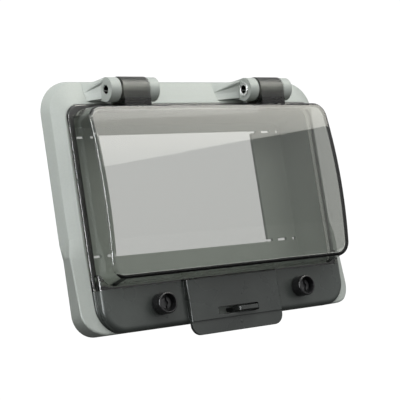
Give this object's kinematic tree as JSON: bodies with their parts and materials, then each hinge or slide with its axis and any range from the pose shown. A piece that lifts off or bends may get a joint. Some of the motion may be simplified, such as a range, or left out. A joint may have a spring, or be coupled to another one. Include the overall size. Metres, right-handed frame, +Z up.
{
  "type": "hinged inspection window",
  "caption": "Hinged smoked inspection window in a sloping grey frame, with quarter-turn locks and a sealing tongue, mounted over a panel cut-out.",
  "frame": {"origin": "centre of the rear mounting face, midway between the four fixing inserts", "axes": "+X to the right seen from the front, +Z up, the front with the cover faces -Y and the panel is at +Y"},
  "size_m": [0.2, 0.0497, 0.1567],
  "materials": {
    "housing": "fine matt, light greenish grey",
    "smoked": "clear smoked polycarbonate",
    "apron": "dark grey satin, moulded",
    "seal": "soft black",
    "cap": "black satin",
    "steel": "zinc plated",
    "insert": "turned",
    "blackened": "black zinc plated steel"
  },
  "bodies": {
    "frame": {"frame": "housing", "cover_gasket": "seal", "panel_gasket": "seal", "hinge_pin_left": "steel", "hinge_pin_right": "steel", "strike_plate_left": "steel", "strike_plate_right": "steel", "fixing_insert_upper_left": "insert", "fixing_insert_upper_right": "insert", "fixing_insert_lower_left": "insert", "fixing_insert_lower_right": "insert", "sealing_tongue": "apron"},
    "cover": {"window_hood": "smoked", "window_apron": "apron"},
    "lock_left": {"lock_knob_left": "cap", "lock_spindle_left": "blackened", "lock_oring_left": "seal", "lock_retainer_left": "steel"},
    "lock_right": {"lock_knob_right": "cap", "lock_spindle_right": "blackened", "lock_oring_right": "seal", "lock_retainer_right": "steel"}
  },
  "joints": [
    {"name": "cover_hinge", "type": "hinge", "parent": "frame", "child": "cover", "pos_m": [0, -0.0221, 0.0645], "axis": [-1, 0, 0], "range_deg": [0, 180]},
    {"name": "lock_left_turn", "type": "hinge", "parent": "cover", "child": "lock_left", "pos_m": [-0.05085, -0.0195, -0.0607], "axis": [0, 1, 0], "range_deg": [0, 90]},
    {"name": "lock_right_turn", "type": "hinge", "parent": "cover", "child": "lock_right", "pos_m": [0.05245, -0.0195, -0.0607], "axis": [0, 1, 0], "range_deg": [0, 90]}
  ]
}
